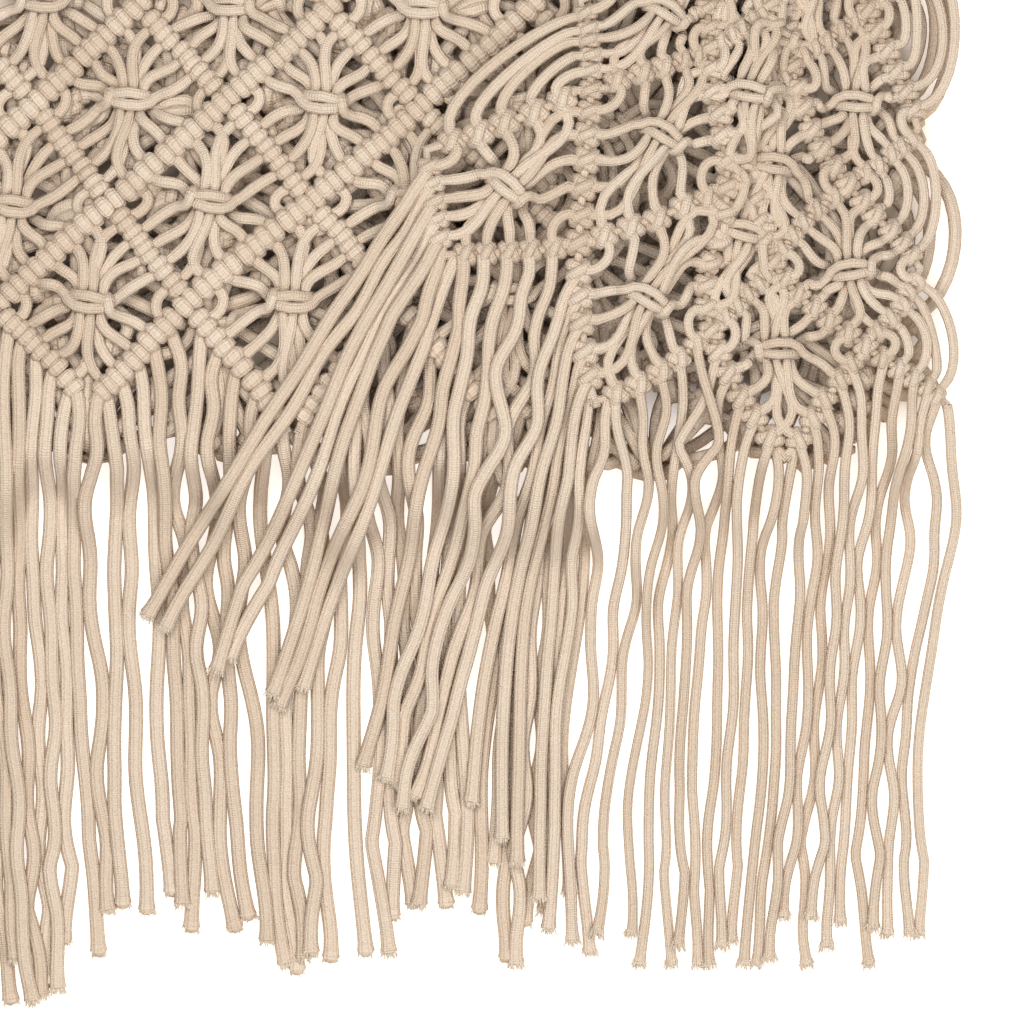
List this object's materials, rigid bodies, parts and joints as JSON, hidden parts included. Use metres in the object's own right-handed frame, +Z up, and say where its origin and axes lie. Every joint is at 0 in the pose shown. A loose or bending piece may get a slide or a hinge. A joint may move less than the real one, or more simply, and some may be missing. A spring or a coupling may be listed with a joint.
{
  "type": "macrame table runner",
  "caption": "Knotted cotton macrame runner with a diamond net, ridged bars and long fringed ends, folded in layers and lying flat to dress a table or shelf.",
  "frame": {"origin": "middle of the part's outline on the surface that it lies on", "axes": "+Z up from the surface, +Y from the fringe ends towards the folds, +X to the right as seen from above with the fringe towards the viewer"},
  "size_m": [0.5364, 0.6224, 0.0461],
  "materials": {
    "cotton_cord": "matte"
  },
  "bodies": {
    "root": {"net": "cotton_cord", "fringe_lower": "cotton_cord", "fringe_upper": "cotton_cord"}
  },
  "joints": []
}
